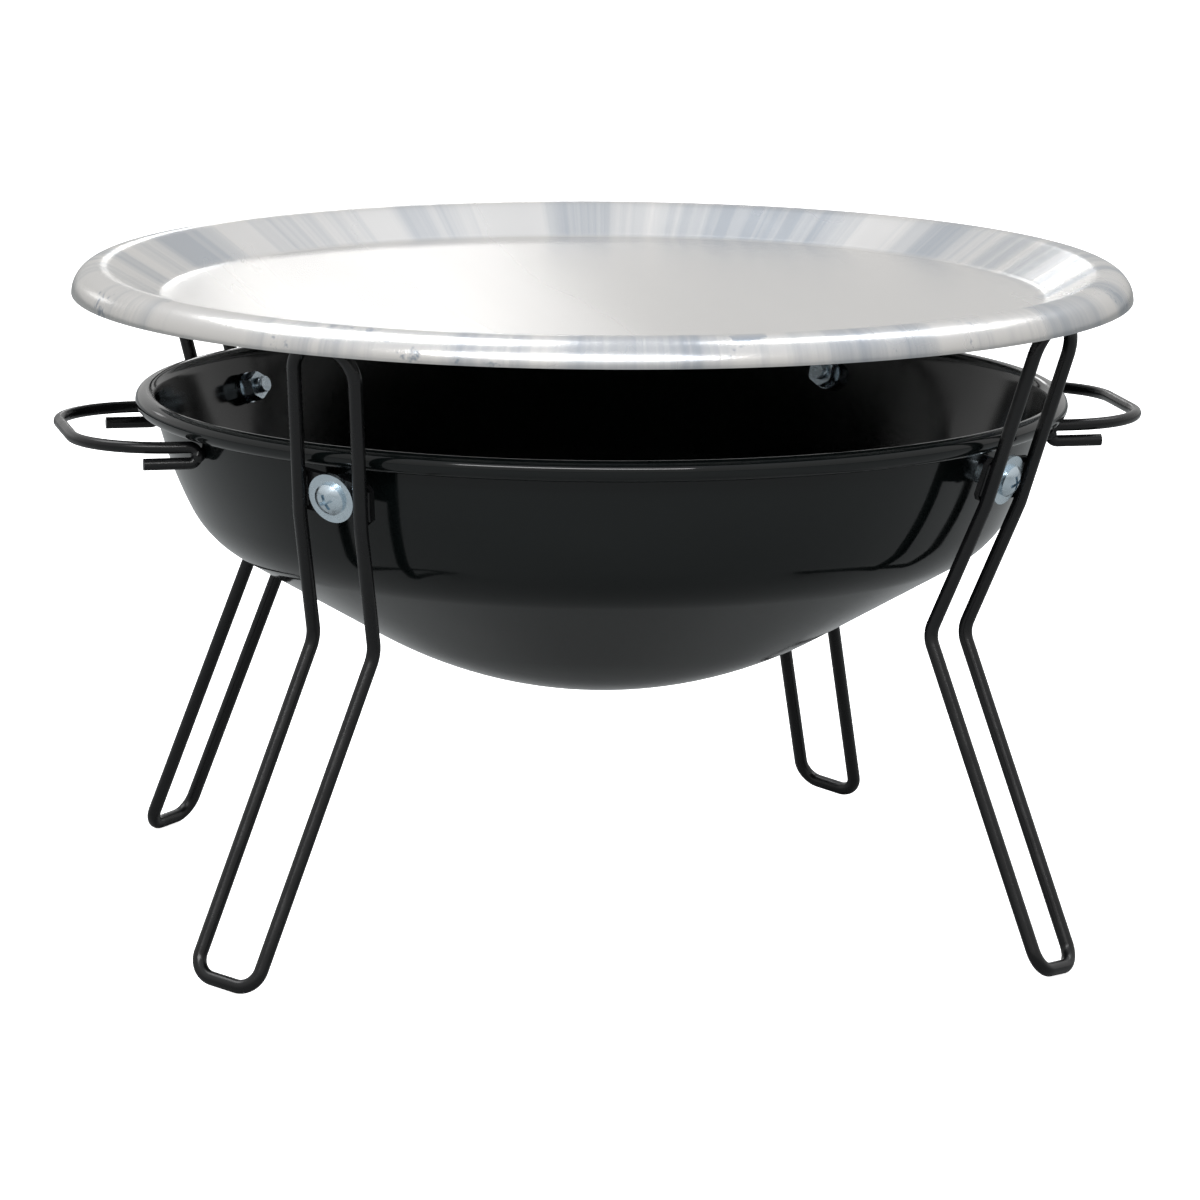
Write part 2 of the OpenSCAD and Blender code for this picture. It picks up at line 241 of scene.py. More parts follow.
def lathe_tree():
    """Turns an outline in the XZ plane about Z."""
    tree, given, out = new_group(
        "Turned sheet",
        "GeometryNodeTree",
        [
            ("Outline", "NodeSocketGeometry", None),
            ("Segments", "NodeSocketInt", 288),
            ("Material", "NodeSocketMaterial", None),
        ],
        [("Geometry", "NodeSocketGeometry")],
    )
    counted = add(tree, "GeometryNodeAttributeDomainSize", {0: given["Outline"]}, component="MESH")
    rows = counted.outputs["Point Count"]
    columns = maths(tree, "ADD", given["Segments"], 1)
    grid = add(
        tree, "GeometryNodeMeshGrid", {"Size X": 1, "Size Y": 1, "Vertices X": columns, "Vertices Y": rows}
    )
    index = add(tree, "GeometryNodeInputIndex").outputs[0]
    row = maths(tree, "MODULO", index, rows)
    column = maths(tree, "FLOOR", maths(tree, "DIVIDE", index, rows))
    point = add(
        tree,
        "GeometryNodeSampleIndex",
        {
            "Geometry": given["Outline"],
            "Value": add(tree, "GeometryNodeInputPosition").outputs[0],
            "Index": row,
        },
        data_type="FLOAT_VECTOR",
        domain="POINT",
    ).outputs[0]
    section = add(tree, "ShaderNodeSeparateXYZ", {0: point}).outputs
    around = maths(tree, "MULTIPLY", maths(tree, "DIVIDE", column, given["Segments"]), math.tau)
    x = maths(tree, "MULTIPLY", section["X"], maths(tree, "COSINE", around))
    y = maths(tree, "MULTIPLY", section["X"], maths(tree, "SINE", around))
    place = add(tree, "ShaderNodeCombineXYZ", {"X": x, "Y": y, "Z": section["Z"]}).outputs[0]
    turned = add(tree, "GeometryNodeSetPosition", {"Geometry": grid.outputs[0], "Position": place}).outputs[0]
    merged = add(tree, "GeometryNodeMergeByDistance", {"Geometry": turned, "Distance": 2e-6}).outputs[0]
    return end_shape(tree, merged, given, out)


def wire_tree():
    """Bends round wire along a line whose corners carry their bend radius."""
    tree, given, out = new_group(
        "Bent wire",
        "GeometryNodeTree",
        [
            ("Line", "NodeSocketGeometry", None),
            ("Wire Radius", "NodeSocketFloat", 0.0025),
            ("Sides", "NodeSocketInt", 28),
            ("Bend Steps", "NodeSocketInt", 14),
            ("Material", "NodeSocketMaterial", None),
        ],
        [("Geometry", "NodeSocketGeometry")],
    )
    line = add(tree, "GeometryNodeMeshToCurve", {0: given["Line"]}).outputs[0]
    radius = add(tree, "GeometryNodeInputNamedAttribute", {"Name": "bend"}, data_type="FLOAT").outputs[0]
    bent = add(
        tree,
        "GeometryNodeFilletCurve",
        {"Curve": line, "Count": given["Bend Steps"], "Radius": radius},
        mode="POLY",
    ).outputs[0]
    ring = add(
        tree,
        "GeometryNodeCurvePrimitiveCircle",
        {"Resolution": given["Sides"], "Radius": given["Wire Radius"]},
    ).outputs[0]
    tube = add(tree, "GeometryNodeCurveToMesh", {"Curve": bent, "Profile Curve": ring, "Fill Caps": True})
    return end_shape(tree, tube.outputs[0], given, out)


def thread_tree():
    """Puts a screw thread on every point, turned the way the point faces."""
    tree, given, out = new_group(
        "Screw threads",
        "GeometryNodeTree",
        [
            ("Points", "NodeSocketGeometry", None),
            ("Radius", "NodeSocketFloat", 0.003),
            ("Length", "NodeSocketFloat", 0.003),
            ("Pitch", "NodeSocketFloat", 0.001),
            ("Ridge", "NodeSocketFloat", 0.0003),
            ("Material", "NodeSocketMaterial", None),
        ],
        [("Geometry", "NodeSocketGeometry")],
    )
    turns = maths(tree, "DIVIDE", given["Length"], given["Pitch"])
    spiral = add(
        tree,
        "GeometryNodeCurveSpiral",
        {
            "Resolution": 32, "Rotations": turns, "Start Radius": given["Radius"],
            "End Radius": given["Radius"], "Height": given["Length"],
        },
    ).outputs[0]
    ridge = add(
        tree, "GeometryNodeCurvePrimitiveCircle", {"Resolution": 6, "Radius": given["Ridge"]}
    ).outputs[0]
    coil = add(tree, "GeometryNodeCurveToMesh", {"Curve": spiral, "Profile Curve": ridge, "Fill Caps": True})
    facing = add(
        tree, "GeometryNodeInputNamedAttribute", {"Name": "facing"}, data_type="FLOAT_VECTOR"
    ).outputs[0]
    copies = add(
        tree,
        "GeometryNodeInstanceOnPoints",
        {"Points": given["Points"], "Instance": coil.outputs[0], "Rotation": facing},
    ).outputs[0]
    return end_shape(tree, copies, given, out)


def shape_tree(name):
    builders = {"Turned sheet": lathe_tree, "Bent wire": wire_tree, "Screw threads": thread_tree}
    return bpy.data.node_groups.get(name) or builders[name]()


# ---- mesh helpers ----


def line_mesh(name, points, closed=False, bends=None):
    """A mesh of edges through points, with the bend radius of each corner."""
    count = len(points)
    edges = [(i, (i + 1) % count) for i in range(count if closed else count - 1)]
    mesh = bpy.data.meshes.new(name)
    mesh.from_pydata([tuple(p) for p in points], edges, [])
    if bends:
        mesh.attributes.new("bend", "FLOAT", "POINT").data.foreach_set("value", bends)
    return mesh


def grow(name, mesh, tree_name, values):
    """Runs a shape tree on a mesh and returns the result as a plain object at the origin."""
    tree = shape_tree(tree_name)
    raw = bpy.data.objects.new(name + "_line", mesh)
    bpy.context.scene.collection.objects.link(raw)
    modifier = raw.modifiers.new("shape", "NODES")
    modifier.node_group = tree
    for socket in tree.interface.items_tree:
        if socket.item_type == "SOCKET" and socket.in_out == "INPUT" and socket.name in values:
            modifier[socket.identifier] = values[socket.name]
    bpy.context.view_layer.update()
    shaped = bpy.data.meshes.new_from_object(raw.evaluated_get(bpy.context.evaluated_depsgraph_get()))
    bpy.data.objects.remove(raw)
    if not shaped.polygons:
        raise RuntimeError(f"{name} came out empty")
    return piece_of(name, shaped)


def piece_of(name, mesh, sharp=40):
    """A finished piece: closed, facing outwards, smooth but for its real edges."""
    work = bmesh.new()
    work.from_mesh(mesh)
    if work.calc_volume(signed=True) < 0:
        bmesh.ops.reverse_faces(work, faces=work.faces)
    work.to_mesh(mesh)
    work.free()
    mesh.name = name
    mesh.shade_smooth()
    mesh.set_sharp_from_angle(angle=math.radians(sharp))
    piece = bpy.data.objects.new(name, mesh)
    bpy.context.scene.collection.objects.link(piece)
    return piece


def transformed(mesh, matrix):
    mesh.transform(matrix)
    return mesh


def arc(centre, radius, start, end, step=1.5):
    """Points along an arc in a section, angles in degrees."""
    count = max(1, math.ceil(abs(end - start) / step))
    turns = [math.radians(start + (end - start) * i / count) for i in range(count + 1)]
    return [centre + radius * Vector((math.cos(t), math.sin(t))) for t in turns]


def outward(slope):
    return Vector((math.cos(slope), -math.sin(slope)))


def upward(slope):
    return Vector((math.sin(slope), math.cos(slope)))


def spread(points, step):
    """Adds points along the long straight stretches of a section."""
    dense = [points[0]]
    for here, there in zip(points, points[1:]):
        parts = max(1, math.ceil((there - here).length / step))
        dense += [here.lerp(there, i / parts) for i in range(1, parts + 1)]
    return dense


def turned_sheet(name, line, slot, values):
    """A sheet of even thickness from the function that gives its line at a depth."""
    outline = spread(line(0.0), 8 * MM) + spread(line(values.pop("sheet")), 8 * MM)[::-1]
    mesh = line_mesh(name, [(p.x, 0.0, p.y) for p in outline])
    piece = grow(name, mesh, "Turned sheet", {**values, "Material": finish(slot)})
    return piece


# ---- where things are ----


class BowlSection:
    """The section of the bowl's wall, and the place of the screws on it."""

    def __init__(self, size, legs):
        self.size = size
        self.bead = Vector((size.rim_radius - size.bead_radius, size.rim_height))
        neck = self.bead - (size.bead_radius - size.sheet) * outward(size.neck_slope)
        self.wall = neck - size.wall_radius * outward(size.neck_slope)
        self.shoulder = self.wall + (size.wall_radius - size.shoulder_radius) * outward(size.shoulder_slope)
        cone_top = self.shoulder + size.shoulder_radius * outward(size.cone_slope)
        cone = (cone_top.x - size.bottom_radius * math.cos(size.cone_slope)) / math.sin(size.cone_slope)
        foot = cone_top - cone * upward(size.cone_slope)
        self.bottom = Vector((0.0, foot.y + size.bottom_radius * math.sin(size.cone_slope)))
        self.screw = self.wall + size.wall_radius * outward(legs.screw_slope)
        self.out = outward(legs.screw_slope)
        self.up = upward(legs.screw_slope)

    def line(self, depth):
        size = self.size
        slopes = (size.neck_slope, size.shoulder_slope, size.cone_slope)
        neck, shoulder, cone = (math.degrees(slope) for slope in slopes)
        return (
            arc(self.bottom, size.bottom_radius - depth, -90, -cone)
            + arc(self.shoulder, size.shoulder_radius - depth, -cone, -shoulder)
            + arc(self.wall, size.wall_radius - depth, -shoulder, -neck, 0.75)
            + arc(self.bead, size.bead_radius - size.sheet + depth, 180 - neck, -130, 12)
        )

    def wall_at(self, height):
        drop = self.wall.y - height
        return self.wall.x + math.sqrt(self.size.wall_radius**2 - drop * drop)


def bowl_section():
    scene = bpy.context.scene
    return BowlSection(scene.forge_bowl, scene.forge_legs)


def screw_frame(section, corner, out=0.0, turn=0.0):
    """Z runs out along a corner's screw and X up the wall."""
    at = section.screw + out * section.out
    x_axis = Vector((section.up.x, 0, section.up.y))
    z_axis = Vector((section.out.x, 0, section.out.y))
    y_axis = z_axis.cross(x_axis)
    seat = Matrix((x_axis, y_axis, z_axis)).transposed().to_4x4()
    seat.translation = Vector((at.x, 0, at.y))
    round_z = Matrix.Rotation(math.radians(CORNERS[corner]), 4, "Z")
    return round_z @ seat @ Matrix.Rotation(turn, 4, "Z")


# ---- finishes ----


def wear_group():
    """Uneven patches and a fine grain, for any finish."""
    tree, given, out = new_group(
        "Handled surface",
        "ShaderNodeTree",
        [
            ("Place", "NodeSocketVector", None),
            ("Patch Scale", "NodeSocketFloat", 20.0),
            ("Grain Scale", "NodeSocketFloat", 900.0),
            ("Low", "NodeSocketFloat", 0.1),
            ("High", "NodeSocketFloat", 0.2),
            ("Seed", "NodeSocketFloat", 0.0),
        ],
        [("Roughness", "NodeSocketFloat"), ("Patches", "NodeSocketFloat"), ("Grain", "NodeSocketFloat")],
    )
    patches = add(
        tree, "ShaderNodeTexNoise",
        {
            "Vector": given["Place"], "W": given["Seed"], "Scale": given["Patch Scale"],
            "Detail": 5.0, "Roughness": 0.6,
        },
        noise_dimensions="4D",
    ).outputs[0]
    grain = add(
        tree, "ShaderNodeTexNoise",
        {"Vector": given["Place"], "W": given["Seed"], "Scale": given["Grain Scale"], "Detail": 2.0},
        noise_dimensions="4D",
    ).outputs[0]
    spread_out = add(
        tree, "ShaderNodeMapRange",
        {
            "Value": patches, "From Min": 0.35, "From Max": 0.65,
            "To Min": given["Low"], "To Max": given["High"],
        },
    ).outputs[0]
    tree.links.new(spread_out, out["Roughness"])
    tree.links.new(patches, out["Patches"])
    tree.links.new(grain, out["Grain"])
    return tree


def start_finish(name, wear, stretch=(1, 1, 1)):
    """A material with a Principled BSDF, object coordinates and the wear group."""
    material = bpy.data.materials.new(name)
    material.use_nodes = True
    tree = material.node_tree
    shader = tree.nodes["Principled BSDF"]
    place = add(tree, "ShaderNodeTexCoord").outputs["Object"]
    stretched = add(tree, "ShaderNodeMapping", {"Vector": place, "Scale": stretch}).outputs[0]
    group = bpy.data.node_groups.get("Handled surface") or wear_group()
    worn = add(tree, "ShaderNodeGroup", node_tree=group)
    tree.links.new(stretched, worn.inputs["Place"])
    for key, value in wear.items():
        worn.inputs[key].default_value = value
    tree.links.new(worn.outputs["Roughness"], shader.inputs["Roughness"])
    return material, tree, shader, place, worn


def bump(tree, shader, height, strength, distance, before=None):
    made = add(tree, "ShaderNodeBump", {"Height": height, "Strength": strength, "Distance": distance})
    if before is not None:
        tree.links.new(before, made.inputs["Normal"])
    tree.links.new(made.outputs[0], shader.inputs["Normal"])
    return made.outputs[0]


def tint(tree, shader, factor, dark, light):
    """Base colour that moves between two colours with a mask."""
    mixed = add(tree, "ShaderNodeMix", {"Factor": factor}, data_type="RGBA")
    mixed.inputs["A"].default_value = (*dark, 1)
    mixed.inputs["B"].default_value = (*light, 1)
    tree.links.new(mixed.outputs["Result"], shader.inputs["Base Color"])


def enamel_finish(look):
    gloss = look.enamel_gloss
    material, tree, shader, place, worn = start_finish(
        "Black enamel",
        {"Patch Scale": 26, "Grain Scale": 420, "Low": gloss - 0.03, "High": gloss + 0.05, "Seed": 1},
    )
    tint(tree, shader, worn.outputs["Patches"], look.enamel, [c * 1.8 for c in look.enamel])
    waves = add(tree, "ShaderNodeTexNoise", {"Vector": place, "Scale": 16.0, "Detail": 1.0}).outputs[0]
    peel = bump(tree, shader, worn.outputs["Grain"], 0.12, 0.00004)
    bump(tree, shader, waves, 0.25, 0.0006, peel)
    shader.inputs["Specular IOR Level"].default_value = 0.36
    return material


def paint_finish(look):
    material, tree, shader, place, worn = start_finish(
        "Black wire paint", {"Patch Scale": 60, "Grain Scale": 1400, "Low": 0.18, "High": 0.34, "Seed": 2}
    )
    tint(tree, shader, worn.outputs["Patches"], look.paint, [c * 2.2 for c in look.paint])
    bump(tree, shader, worn.outputs["Grain"], 0.25, 0.00008)
    shader.inputs["Specular IOR Level"].default_value = 0.36
    return material


def steel_finish(look):
    """Satin sheet, brushed outwards over the wall and the brim, with bluish-grey streaks of painted
    reflection darkening the wall and a few stain marks along the brim.
    """
    material, tree, shader, place, worn = start_finish(
        "Satin steel",
        {"Patch Scale": 9, "Grain Scale": 700, "Low": 0.20, "High": 0.32, "Seed": 3},
        (1, 0.06, 1),
    )
    level = add(tree, "ShaderNodeVectorMath", {0: place, 1: (1, 1, 0)}, operation="MULTIPLY").outputs[0]
    radius = add(tree, "ShaderNodeVectorMath", {0: level}, operation="LENGTH").outputs["Value"]
    heading = add(tree, "ShaderNodeVectorMath", {0: level}, operation="NORMALIZE").outputs[0]
    streaks = add(
        tree, "ShaderNodeTexNoise", {"Vector": heading, "Scale": 5.5, "Detail": 7.0, "Roughness": 0.62}
    )
    reflection_streak_mask = add(
        tree, "ShaderNodeMapRange", {"Value": streaks.outputs[0], "From Min": 0.44, "From Max": 0.62}
    ).outputs[0]
    raised = add(
        tree, "ShaderNodeMapRange",
        {"Value": radius, "From Min": 163 * MM, "From Max": 170 * MM, "To Max": 0.75},
    ).outputs[0]
    brim = add(
        tree, "ShaderNodeMapRange", {"Value": radius, "From Min": 188 * MM, "From Max": 196 * MM}
    ).outputs[0]
    spots = add(tree, "ShaderNodeTexNoise", {"Vector": place, "Scale": 42.0, "Detail": 5.0, "Roughness": 0.7})
    spotted = add(
        tree, "ShaderNodeMapRange", {"Value": spots.outputs[0], "From Min": 0.60, "From Max": 0.66}
    ).outputs[0]
    # The wall's bluish-grey streaks are a painted reflection of the studio; only the spots along the brim are
    # stain marks.
    painted_reflection_on_wall = maths(tree, "MULTIPLY", reflection_streak_mask, raised)
    stain_and_painted_reflection_mask = maths(tree, "MAXIMUM", painted_reflection_on_wall, maths(tree, "MULTIPLY", spotted, brim))
    steel = look.steel
    # Base colour darkens to bluish grey under the painted reflection streaks on the wall and under the stain
    # marks on the brim.
    tint(tree, shader, stain_and_painted_reflection_mask, steel, (steel[0] * 0.50, steel[1] * 0.56, steel[2] * 0.64))
    waves = add(tree, "ShaderNodeTexNoise", {"Vector": place, "Scale": 11.0, "Detail": 1.0}).outputs[0]
    brushed = bump(tree, shader, worn.outputs["Grain"], 0.12, 0.00003)
    drawn = bump(tree, shader, maths(tree, "MULTIPLY", streaks.outputs[0], raised), 0.5, 0.0012, brushed)
    bump(tree, shader, waves, 0.18, 0.0006, drawn)
    shader.inputs["Metallic"].default_value = 1.0
    return material


def zinc_finish(look):
    material, tree, shader, place, worn = start_finish(
        "Bright zinc", {"Patch Scale": 210, "Grain Scale": 1600, "Low": 0.16, "High": 0.36, "Seed": 4}
    )
    zinc = look.zinc
    tint(tree, shader, worn.outputs["Patches"], [c * 0.72 for c in zinc], [min(1, c * 1.16) for c in zinc])
    bump(tree, shader, worn.outputs["Grain"], 0.3, 0.00005)
    shader.inputs["Metallic"].default_value = 1.0
    return material


FINISHES = {
    "enamel": ("Black enamel", enamel_finish),
    "wire_paint": ("Black wire paint", paint_finish),
    "dish_steel": ("Satin steel", steel_finish),
    "zinc": ("Bright zinc", zinc_finish),
}


def finish(slot):
    name, build = FINISHES[slot]
    return bpy.data.materials.get(name) or build(bpy.context.scene.forge_finish)


def paint_node(node):
    """Gives a CAD node the finish of its own material slot."""
    slot = next(s["material_slot"] for s in frame["record"]["subparts"] if s["node"] == node)
    for place in frame["nodes"][node].material_slots:
        place.material = finish(slot)


# ---- operators ----


class ForgeOperator(bpy.types.Operator):
    bl_options = {"REGISTER", "UNDO"}

    def execute(self, context):
        self.build(context.scene)
        return {"FINISHED"}


class FORGE_OT_fire_bowl(ForgeOperator):
    """Turn the enamelled fire bowl with its rolled rim"""

    bl_idname = "forge.fire_bowl"
    bl_label = "Fire Bowl"

    def build(self, scene):
        size = scene.forge_bowl
        section = bowl_section()
        bowl = turned_sheet(
            "fire_bowl_shell", section.line, "enamel",
            {"sheet": size.sheet, "Segments": size.segments},
        )
        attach(bowl, "bowl")
        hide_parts("fire_bowl")


class FORGE_OT_dish(ForgeOperator):
    """Turn the lift-off dish with its rounded brim"""

    bl_idname = "forge.dish"
    bl_label = "Dish"

    def build(self, scene):
        size = scene.forge_dish
        slope = size.wall_slope
        brim = Vector((size.radius - size.brim, size.top - size.brim))
        base = size.top - size.depth
        wall_top = brim + size.brim * Vector((-math.sin(slope), math.cos(slope)))
        drop = wall_top.y - base - size.corner * (1 - math.cos(slope))
        foot = wall_top - drop / math.sin(slope) * Vector((math.cos(slope), math.sin(slope)))
        corner = foot + size.corner * Vector((-math.sin(slope), math.cos(slope)))
        lean = math.degrees(slope)

        def line(depth):
            return (
                [Vector((0.0, base - depth))]
                + arc(corner, size.corner + depth, -90, lean - 90, 3)
                + arc(brim, size.brim - depth, 90 + lean, 0, 4)
            )

        dish = turned_sheet(
            "dish_shell", line, "dish_steel",
            {"sheet": size.sheet, "Segments": scene.forge_bowl.segments},
        )
        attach(dish, "dish_body")
        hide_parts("dish")


class FORGE_OT_legs(ForgeOperator):
    """Bend the four double-wire legs and weld their plates"""

    bl_idname = "forge.legs"
    bl_label = "Legs"

    def build(self, scene):
        size = scene.forge_legs
        section = bowl_section()
        paint = finish("wire_paint")
        axis = section.screw + size.standoff * section.out
        top = axis + size.rise * section.up
        bend = axis - size.bend_drop * section.up
        middle = (bend.y - size.knee_height) / math.cos(size.middle_lean)
        knee = bend - middle * upward(size.middle_lean)
        lower = (size.knee_height - size.wire / 2) / math.cos(size.foot_lean)
        foot = knee + lower * Vector((math.sin(size.foot_lean), -math.cos(size.foot_lean)))
        half = size.pitch / 2
        reached = [p - section.screw for p in (top, bend, knee, foot)]
        side = [(p @ section.up, p @ section.out) for p in reached]
        radii = [half * NEARLY, size.screw_bend, size.knee_bend, size.foot_bend]
        points = [(u, -half, w) for u, w in side] + [(u, half, w) for u, w in reversed(side)]
        for corner in CORNERS:
            name = "leg_" + corner
            place = screw_frame(section, corner, turn=getattr(size, "turn_" + corner))
            mesh = transformed(line_mesh(name, points, closed=True, bends=radii + radii[::-1]), place)
            leg = grow(
                "wire_" + name, mesh, "Bent wire",
                {"Wire Radius": size.wire / 2, "Sides": 32, "Bend Steps": 18, "Material": paint},
            )
            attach(leg, "leg_body_" + corner)
            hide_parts(name)
            paint_node("leg_plate_" + corner)
            self.weld_plate(size, section, corner, place)

    def weld_plate(self, size, section, corner, place):
        """Runs an uneven bead along both sides of each wire, where it sits in the plate."""
        paint = finish("wire_paint")
        work = bmesh.new()
        for side in (-1, 1):
            for edge in (-1, 1):
                points = []
                for i in range(9):
                    along = (i / 8 - 0.5) * PLATE_WELD_RUN
                    wander = 0.25 * MM * noise.noise(Vector((along * 900, side * 3 + edge, len(corner))))
                    y = side * size.pitch / 2 + edge * 1.9 * MM + wander
                    points.append((along, y, size.standoff - size.wire / 2 + 0.2 * MM))
                bead = grow(
                    "bead", line_mesh("bead", points, bends=[0.8 * MM] * 9), "Bent wire",
                    {"Wire Radius": PLATE_WELD_R, "Sides": 12, "Bend Steps": 3, "Material": paint},
                )
                work.from_mesh(bead.data)
                bpy.data.objects.remove(bead)
        mesh = bpy.data.meshes.new("plate_welds_" + corner)
        work.to_mesh(mesh)
        work.free()
        mesh.materials.append(paint)
        welds = piece_of("plate_welds_" + corner, transformed(mesh, place))
        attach(welds, "leg_body_" + corner)


class FORGE_OT_handles(ForgeOperator):
    """Bend the two wire handles and weld them under the rim"""

    bl_idname = "forge.handles"
    bl_label = "Handles"

    def build(self, scene):
        size = scene.forge_handles
        paint = finish("wire_paint")
        bowl = scene.forge_bowl
        section = bowl_section()
        arm_z = bowl.rim_height - bowl.bead_radius - size.gap - size.wire / 2
        fold_z = arm_z - size.fold_height
        arm_y = size.width / 2
        wall = section.wall_at(arm_z - size.fold_height / 2)
        wall_x = math.sqrt(wall * wall - arm_y * arm_y)
        facing = wall_x / wall
        fold_x = wall_x + (size.wire / 2 + WELD_GAP) / facing
        grip_x = bowl.rim_radius + size.reach
        near = [
            (fold_x + size.fold_length, -arm_y, fold_z), (fold_x, -arm_y, fold_z),
            (fold_x, -arm_y, arm_z), (grip_x, -arm_y, arm_z),
        ]
        points = near + [(x, -y, z) for x, y, z in reversed(near)]
        fold_r = size.fold_height / 2 * 0.999
        radii = [0.0, fold_r, fold_r, size.corner]
        welds = bmesh.new()
        for name, turn in (("handle_right", 0.0), ("handle_left", math.pi)):
            place = Matrix.Rotation(turn, 4, "Z")
            mesh = transformed(line_mesh(name, points, bends=radii + radii[::-1]), place)
            handle = grow(
                "wire_" + name, mesh, "Bent wire",
                {"Wire Radius": size.wire / 2, "Sides": 28, "Bend Steps": 16, "Material": paint},
            )
            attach(handle, "bowl")
            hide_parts(name)
            for side in (-1, 1):
                spot = Vector((wall_x + WELD_DEPTH / facing, side * arm_y, arm_z - size.fold_height / 2))
                self.weld(welds, place @ Matrix.Translation(spot), side + turn)
        mesh = bpy.data.meshes.new("handle_welds")
        welds.to_mesh(mesh)
        welds.free()
        mesh.materials.append(paint)
        beads = piece_of("handle_welds", mesh)
        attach(beads, "bowl")
        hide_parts("weld_beads")

    def weld(self, work, place, seed):
        """A lumpy weld bead between a fold and the wall."""
        made = bmesh.ops.create_icosphere(work, subdivisions=4, radius=WELD_R)["verts"]
        for vert in made:
            lump = noise.noise(vert.co * 700 + Vector((seed * 5, 0, 0)))
            vert.co *= 0.95 + 0.1 * lump
            vert.co.y *= 1.15
        bmesh.ops.transform(work, matrix=place, verts=made)


class FORGE_OT_fastenings(ForgeOperator):
    """Finish the screws, washers, spacers and nuts, and add the screws' threads"""

    bl_idname = "forge.fastenings"
    bl_label = "Fastenings"

    def build(self, scene):
        section = bowl_section()
        for corner in CORNERS:
            for piece in ("screw", "outer_washer", "spacer", "inner_washer", "nut"):
                paint_node(f"{piece}_{corner}")
        seats = [screw_frame(section, corner, out=-THREAD_END) for corner in CORNERS]
        mesh = line_mesh("screw_threads", [seat.translation for seat in seats])
        turns = [value for seat in seats for value in seat.to_euler()]
        mesh.attributes.new("facing", "FLOAT_VECTOR", "POINT").data.foreach_set("vector", turns)
        threads = grow(
            "screw_threads", mesh, "Screw threads",
            {
                "Radius": 2.9 * MM, "Length": 3 * MM, "Pitch": 1 * MM,
                "Ridge": 0.28 * MM, "Material": finish("zinc"),
            },
        )
        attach(threads, "bowl")


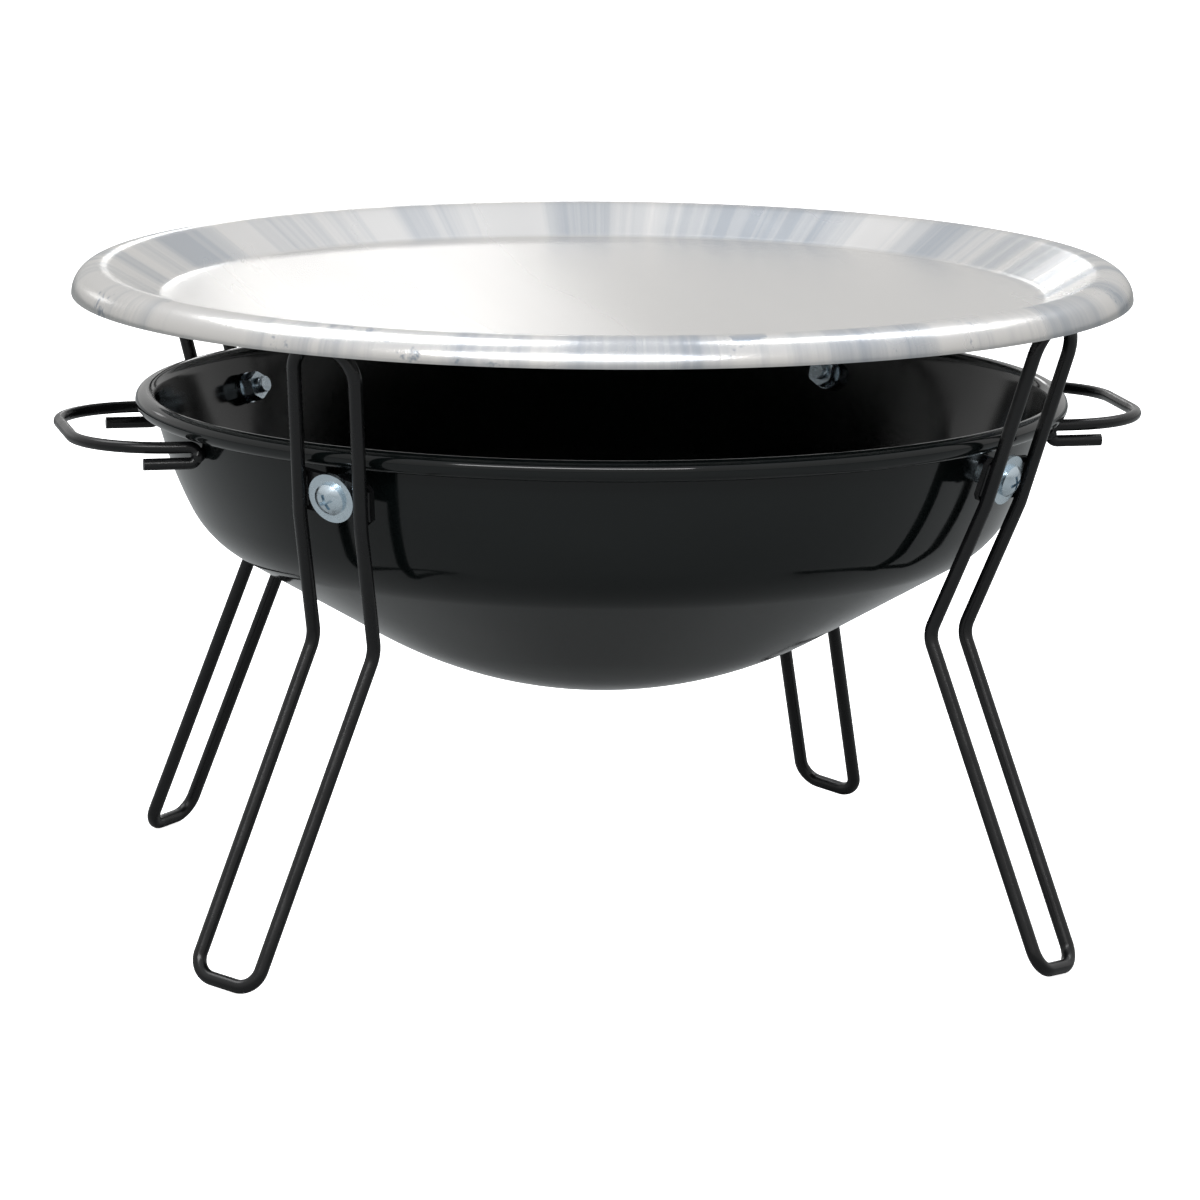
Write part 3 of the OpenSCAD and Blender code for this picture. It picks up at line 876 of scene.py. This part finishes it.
class FORGE_OT_stage(ForgeOperator):
    """Set up the floor, the lights, the sky and the camera"""

    bl_idname = "forge.stage"
    bl_label = "Stage"

    def build(self, scene):
        stage = scene.forge_stage
        self.lay_floor(stage)
        self.light_sky(scene)
        scene.view_settings.view_transform = "Standard"
        for name, place, aim, wide, deep, watts in (
            ("Overhead left", (-0.9, 0.5, 2.2), (0, 0, 0.2), 1.1, 1.5, 22),
            ("Overhead right", (1.1, 0.3, 2.0), (0, 0, 0.2), 0.5, 1.3, 9),
            ("Front", (-0.9, -2.6, 2.1), (0, 0, 0.15), 3.2, 0.4, 52),
            ("Behind left", (-1.15, 2.2, 0.80), (0, 0, 0.23), 0.26, 0.22, 0.3),
            ("Behind", (0.35, 2.5, 0.95), (0, 0, 0.23), 0.26, 0.26, 0.7),
        ):
            lamp = bpy.data.lights.new(name, "AREA")
            lamp.shape, lamp.size, lamp.size_y, lamp.energy = "RECTANGLE", wide, deep, watts
            light = bpy.data.objects.new(name, lamp)
            light.location = place
            light.rotation_euler = (Vector(aim) - Vector(place)).to_track_quat("-Z", "Y").to_euler()
            scene.collection.objects.link(light)
        self.place_camera(scene, stage)

    def lay_floor(self, stage):
        mesh = bpy.data.meshes.new("floor")
        reach = 30.0
        corners = [(-reach, -reach, 0), (reach, -reach, 0), (reach, reach, 0), (-reach, reach, 0)]
        mesh.from_pydata(corners, [], [(0, 1, 2, 3)])
        material = bpy.data.materials.new("Pale floor")
        material.use_nodes = True
        tree = material.node_tree
        tree.nodes.clear()
        seen = add(tree, "ShaderNodeBsdfDiffuse", {"Color": (*stage.floor, 1)}).outputs[0]
        glow = add(tree, "ShaderNodeEmission", {"Color": (1, 1, 1, 1), "Strength": 0.9}).outputs[0]
        lit = add(tree, "ShaderNodeAddShader", {0: seen, 1: glow}).outputs[0]
        dull = add(tree, "ShaderNodeBsdfDiffuse", {"Color": (0.31, 0.32, 0.32, 1)}).outputs[0]
        ray = add(tree, "ShaderNodeLightPath").outputs["Is Camera Ray"]
        mixed = add(tree, "ShaderNodeMixShader", {0: ray, 1: dull, 2: lit}).outputs[0]
        add(tree, "ShaderNodeOutputMaterial", {"Surface": mixed})
        mesh.materials.append(material)
        floor = bpy.data.objects.new("floor", mesh)
        bpy.context.scene.collection.objects.link(floor)

    def light_sky(self, scene):
        """A soft room, dim at the horizon and brighter overhead."""
        world = bpy.data.worlds.new("Room")
        scene.world = world
        world.use_nodes = True
        tree = world.node_tree
        direction = add(tree, "ShaderNodeTexCoord").outputs["Generated"]
        up = add(tree, "ShaderNodeSeparateXYZ", {0: direction}).outputs["Z"]
        ramp = add(tree, "ShaderNodeValToRGB", {0: up})
        stops = ramp.color_ramp.elements
        stops[0].position, stops[0].color = 0.0, (0.545, 0.545, 0.54, 1)
        stops[1].position, stops[1].color = 0.85, (0.80, 0.82, 0.85, 1)
        middle = stops.new(0.45)
        middle.color = (0.69, 0.69, 0.69, 1)
        background = tree.nodes["Background"]
        tree.links.new(ramp.outputs[0], background.inputs["Color"])
        background.inputs["Strength"].default_value = 1.1

    def place_camera(self, scene, stage):
        data = bpy.data.cameras.new("Camera")
        data.lens, data.sensor_width = stage.lens, 36.0
        data.clip_start, data.clip_end = 0.05, 100
        camera = bpy.data.objects.new("Camera", data)
        scene.collection.objects.link(camera)
        back = Matrix.Rotation(stage.heading, 4, "Z")
        aim = Matrix.Rotation(math.pi / 2 - stage.tilt, 4, "X") @ Matrix.Rotation(stage.roll, 4, "Z")
        camera.matrix_world = back @ Matrix.Translation((0, -stage.distance, stage.height)) @ aim
        scene.camera = camera


OPERATORS = (
    FORGE_OT_fire_bowl,
    FORGE_OT_dish,
    FORGE_OT_legs,
    FORGE_OT_handles,
    FORGE_OT_fastenings,
    FORGE_OT_stage,
)


class FORGE_PT_pieces(bpy.types.Panel):
    """Lists the forge's pieces and their sizes"""

    bl_idname = "FORGE_PT_pieces"
    bl_label = "Charcoal Forge"
    bl_space_type = "VIEW_3D"
    bl_region_type = "UI"
    bl_category = "Forge"

    def draw(self, context):
        for operator in OPERATORS:
            self.layout.operator(operator.bl_idname)
        for name, group in SETTINGS.items():
            box = self.layout.box()
            box.label(text=group.__doc__.rstrip("."))
            for prop in group.__annotations__:
                box.prop(getattr(context.scene, name), prop)


def register():
    for group in SETTINGS.values():
        bpy.utils.register_class(group)
    for name, group in SETTINGS.items():
        setattr(bpy.types.Scene, name, bpy.props.PointerProperty(type=group))
    for cls in (*OPERATORS, FORGE_PT_pieces):
        bpy.utils.register_class(cls)


def unregister():
    for cls in (FORGE_PT_pieces, *reversed(OPERATORS)):
        bpy.utils.unregister_class(cls)
    for name, group in reversed(SETTINGS.items()):
        delattr(bpy.types.Scene, name)
        bpy.utils.unregister_class(group)


def main():
    register()
    bpy.ops.forge.fire_bowl()
    bpy.ops.forge.dish()
    bpy.ops.forge.legs()
    bpy.ops.forge.handles()
    bpy.ops.forge.fastenings()
    bpy.ops.forge.stage()


if __name__ == "__main__":
    main()
